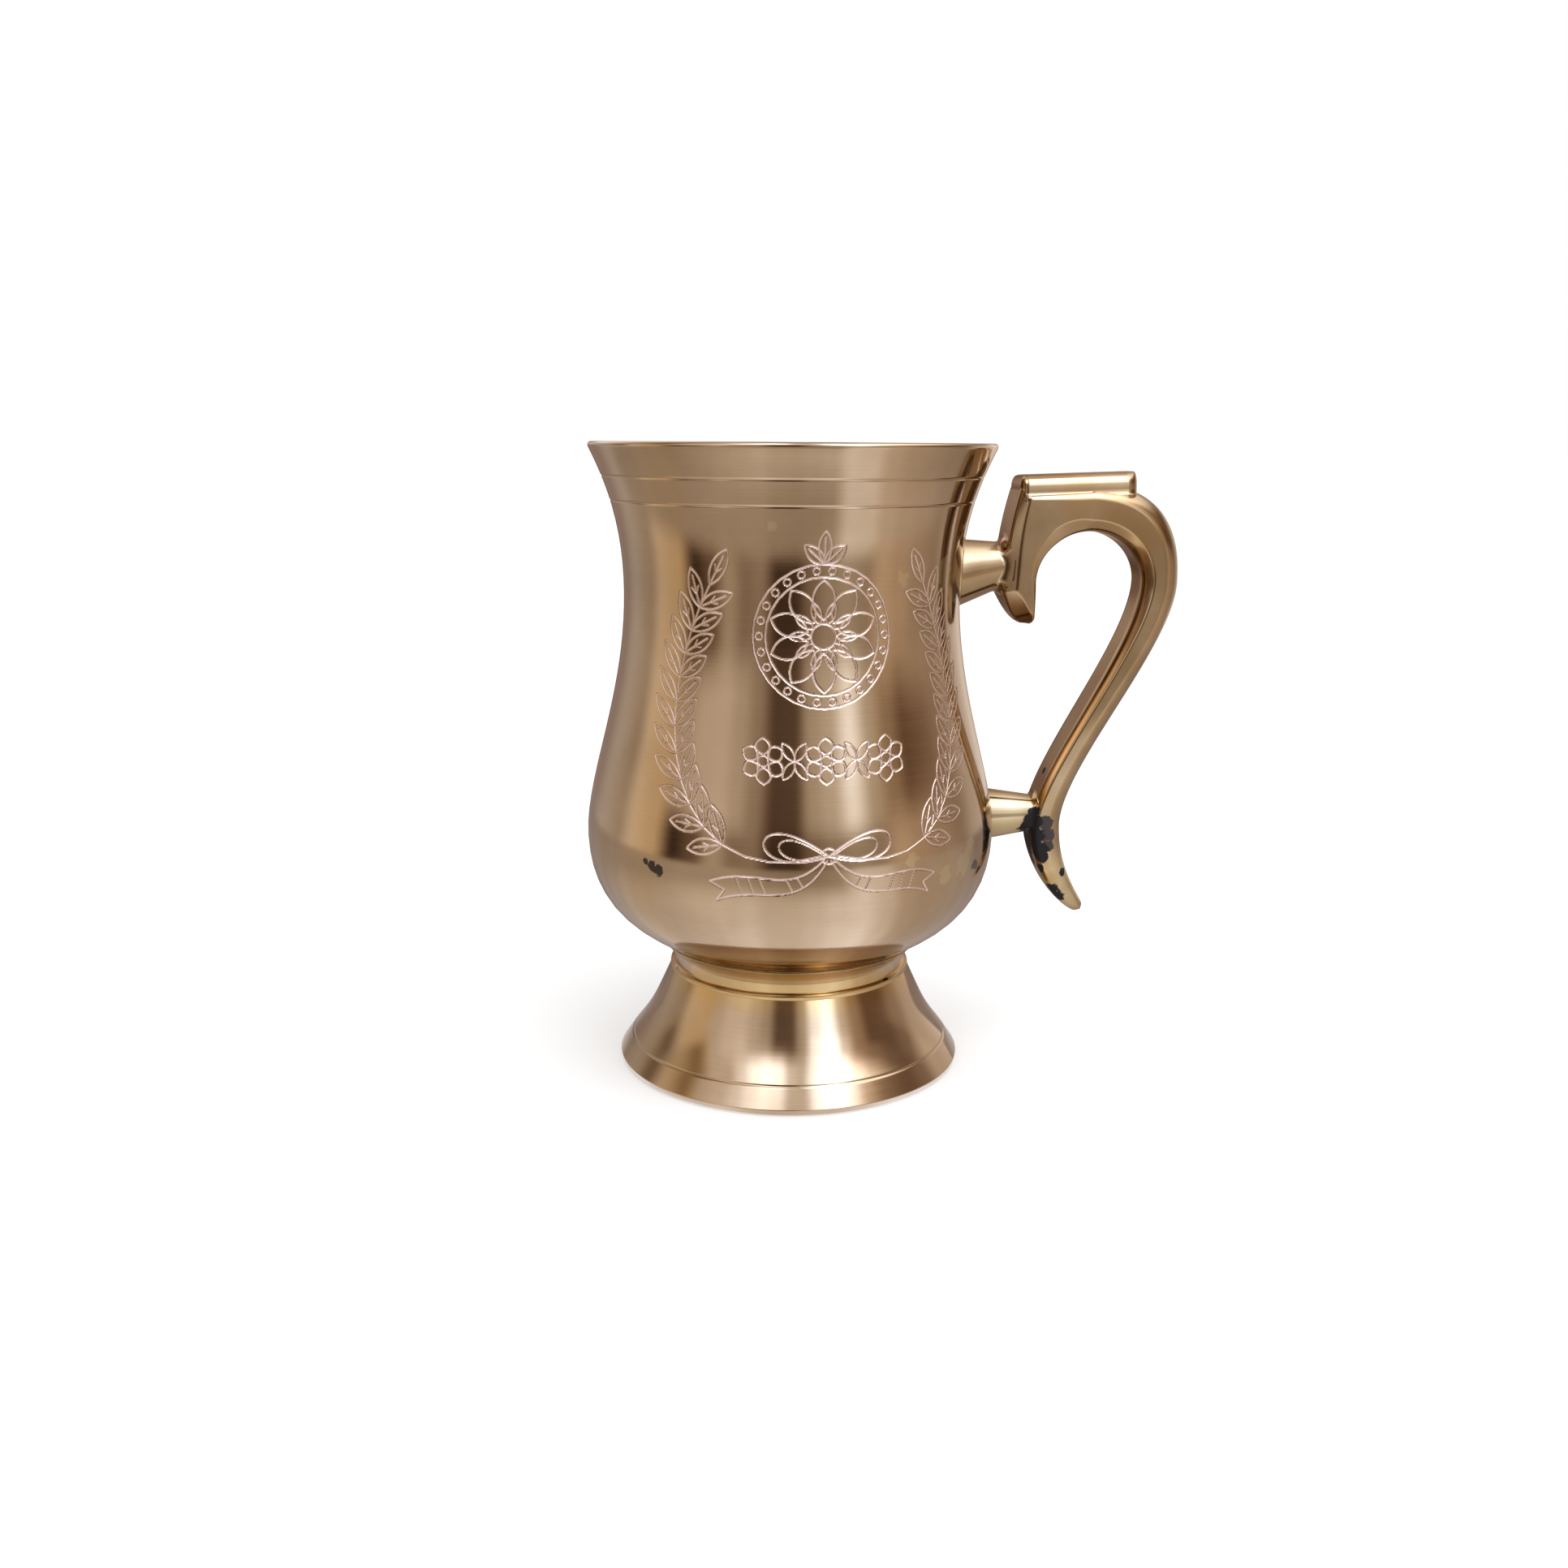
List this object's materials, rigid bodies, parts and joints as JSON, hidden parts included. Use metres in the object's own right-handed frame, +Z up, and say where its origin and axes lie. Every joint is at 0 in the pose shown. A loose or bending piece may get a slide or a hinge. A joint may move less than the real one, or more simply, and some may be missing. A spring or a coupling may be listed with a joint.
{
  "type": "footed tankard",
  "caption": "Brass drinking tankard: bell-shaped bowl with a flared rim on a hollow flared foot, and a scroll handle with a thumb rest held off by struts.",
  "frame": {"origin": "on the table, under the middle of the whole outline, so the cup's own axis is 21.46 mm towards -X", "axes": "+Z up along the cup's axis, +X from the cup's axis towards the handle, -Y towards the decorated front"},
  "size_m": [0.1366, 0.0936, 0.1426],
  "materials": {
    "turned_brass": "polished and lacquered, with fine turning marks",
    "cast_brass": "cast, filed and polished, with tarnish in the corners",
    "soldered_seam": "dull solder and braze, darkened by flux"
  },
  "bodies": {
    "root": {"bowl": "turned_brass", "foot": "turned_brass", "neck_solder": "soldered_seam", "handle": "cast_brass", "upper_strut": "cast_brass", "upper_strut_solder": "soldered_seam", "upper_strut_braze": "soldered_seam", "lower_strut": "cast_brass", "lower_strut_solder": "soldered_seam", "lower_strut_braze": "soldered_seam"}
  },
  "joints": []
}
